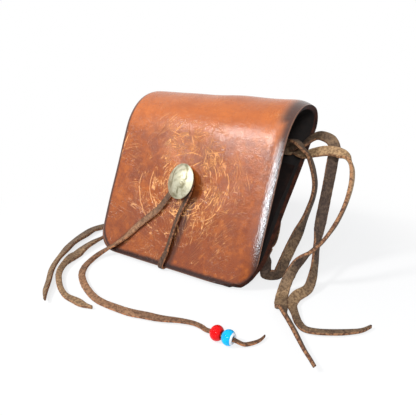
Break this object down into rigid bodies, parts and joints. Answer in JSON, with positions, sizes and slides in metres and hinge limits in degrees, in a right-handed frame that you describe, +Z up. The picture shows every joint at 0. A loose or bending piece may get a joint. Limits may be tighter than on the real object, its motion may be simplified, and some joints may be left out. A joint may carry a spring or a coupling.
{
  "type": "leather belt pouch",
  "caption": "Wedge-shaped leather pouch with a rounded fold-over flap, closed by a beaded lace hooked round a domed button and tied to a belt by knotted thongs.",
  "frame": {"origin": "on the floor under the middle of the pouch, halfway between the flap's lower edge and the back of the fold", "axes": "+X across the pouch, to the right as one faces the flap, +Y from the flap to the back, +Z up"},
  "size_m": [0.2191, 0.1598, 0.1051],
  "materials": {
    "strip_leather": "burnished chestnut, scratched",
    "body_leather": "dark, worn",
    "thong_leather": "rough flesh side, matte",
    "button_metal": "worn, pale, aged silver colour",
    "red_glass": "gloss",
    "blue_glass": "gloss"
  },
  "bodies": {
    "pouch": {"back_panel": "strip_leather", "front_panel": "body_leather", "gusset_right": "body_leather", "gusset_left": "body_leather", "closure_lace": "thong_leather", "lace_knot": "thong_leather", "red_bead": "red_glass", "blue_bead": "blue_glass", "tie_knot_right": "thong_leather", "tie_knot_left": "thong_leather", "belt_loop_right": "thong_leather", "belt_loop_left": "thong_leather", "side_loop_right": "thong_leather", "long_tail_right": "thong_leather", "short_tail_right": "thong_leather", "outer_tail_left": "thong_leather", "inner_tail_left": "thong_leather"},
    "flap": {"flap": "strip_leather", "button_dome": "button_metal", "button_post": "button_metal", "button_washer": "button_metal"}
  },
  "joints": [
    {"name": "flap_hinge", "type": "hinge", "parent": "pouch", "child": "flap", "pos_m": [0, 0.038, 0.10197], "axis": [-1, 0, 0], "range_deg": [0, 130], "deforming": ["closure_lace"]}
  ]
}
